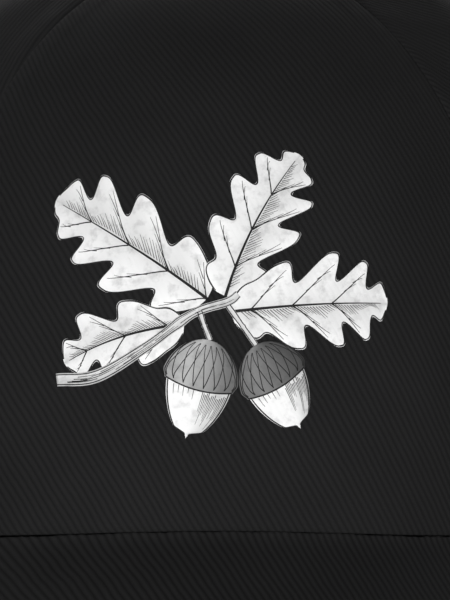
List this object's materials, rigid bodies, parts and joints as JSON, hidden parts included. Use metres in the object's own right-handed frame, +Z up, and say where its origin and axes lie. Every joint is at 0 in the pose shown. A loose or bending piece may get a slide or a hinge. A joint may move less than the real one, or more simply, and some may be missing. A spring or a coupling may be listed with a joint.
{
  "type": "baseball cap",
  "caption": "Black cotton twill baseball cap with a structured printed front panel, a curved brim and a plastic snap strap at the back.",
  "frame": {"origin": "middle of the bounding box at the table the cap lies on", "axes": "+Z up, -Y the way the brim points, +X towards the wearer's left-hand side"},
  "size_m": [0.1756, 0.2706, 0.1373],
  "materials": {
    "cotton_twill": "washed black cotton twill with a steep diagonal wale",
    "stiff_backing": "open stiffened mesh cloth",
    "seam_tape": "plain black woven tape",
    "band_cloth": "brushed black cotton",
    "eyelet_thread": "satin-stitched black thread",
    "strap_plastic": "soft black moulded plastic"
  },
  "bodies": {
    "root": {"front_panel": "cotton_twill", "side_panel_left": "cotton_twill", "side_panel_right": "cotton_twill", "back_panel_left": "cotton_twill", "back_panel_right": "cotton_twill", "brim_upper": "cotton_twill", "brim_lower": "cotton_twill", "top_button": "cotton_twill", "front_backing": "stiff_backing", "seam_tape_front_left": "seam_tape", "seam_tape_front_right": "seam_tape", "seam_tape_rear_left": "seam_tape", "seam_tape_rear_right": "seam_tape", "seam_tape_back": "seam_tape", "arch_binding": "seam_tape", "sweatband": "band_cloth", "eyelet_side_left": "eyelet_thread", "eyelet_back_left": "eyelet_thread", "eyelet_back_right": "eyelet_thread", "eyelet_side_right": "eyelet_thread", "strap_outer": "strap_plastic", "strap_inner": "strap_plastic"}
  },
  "joints": []
}
